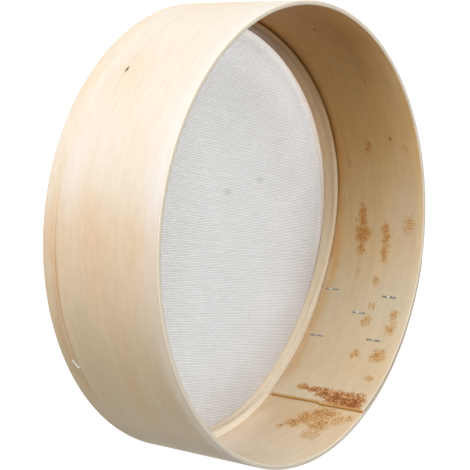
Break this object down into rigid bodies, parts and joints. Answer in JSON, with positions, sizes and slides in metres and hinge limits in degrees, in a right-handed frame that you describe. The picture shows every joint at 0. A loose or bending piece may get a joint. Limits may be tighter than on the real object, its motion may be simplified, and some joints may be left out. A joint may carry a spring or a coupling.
{
  "type": "drum sieve",
  "caption": "Shallow bent-wood drum open at the top, with fine wire cloth held near its base by a narrow inner hoop. Kitchen sieve for flour and purees.",
  "frame": {"origin": "centre of the lower rim, on the surface that the drum stands on", "axes": "+Z along the drum's axis, from the wire cloth towards the open rim; +X is a quarter turn from the middle of the side that the picture shows from outside"},
  "size_m": [0.3006, 0.2998, 0.09],
  "materials": {
    "drum_wood": "bare planed hardwood, pale, with fine long grain",
    "hoop_wood": "bare planed hardwood, pale",
    "cloth_wire": "fine plain-woven bright steel wire",
    "staple_wire": "flattened galvanised wire"
  },
  "bodies": {
    "root": {"drum_wall": "drum_wood", "inner_hoop": "hoop_wood", "wire_cloth": "cloth_wire", "lap_staples": "staple_wire", "hoop_staples": "staple_wire"}
  },
  "joints": []
}
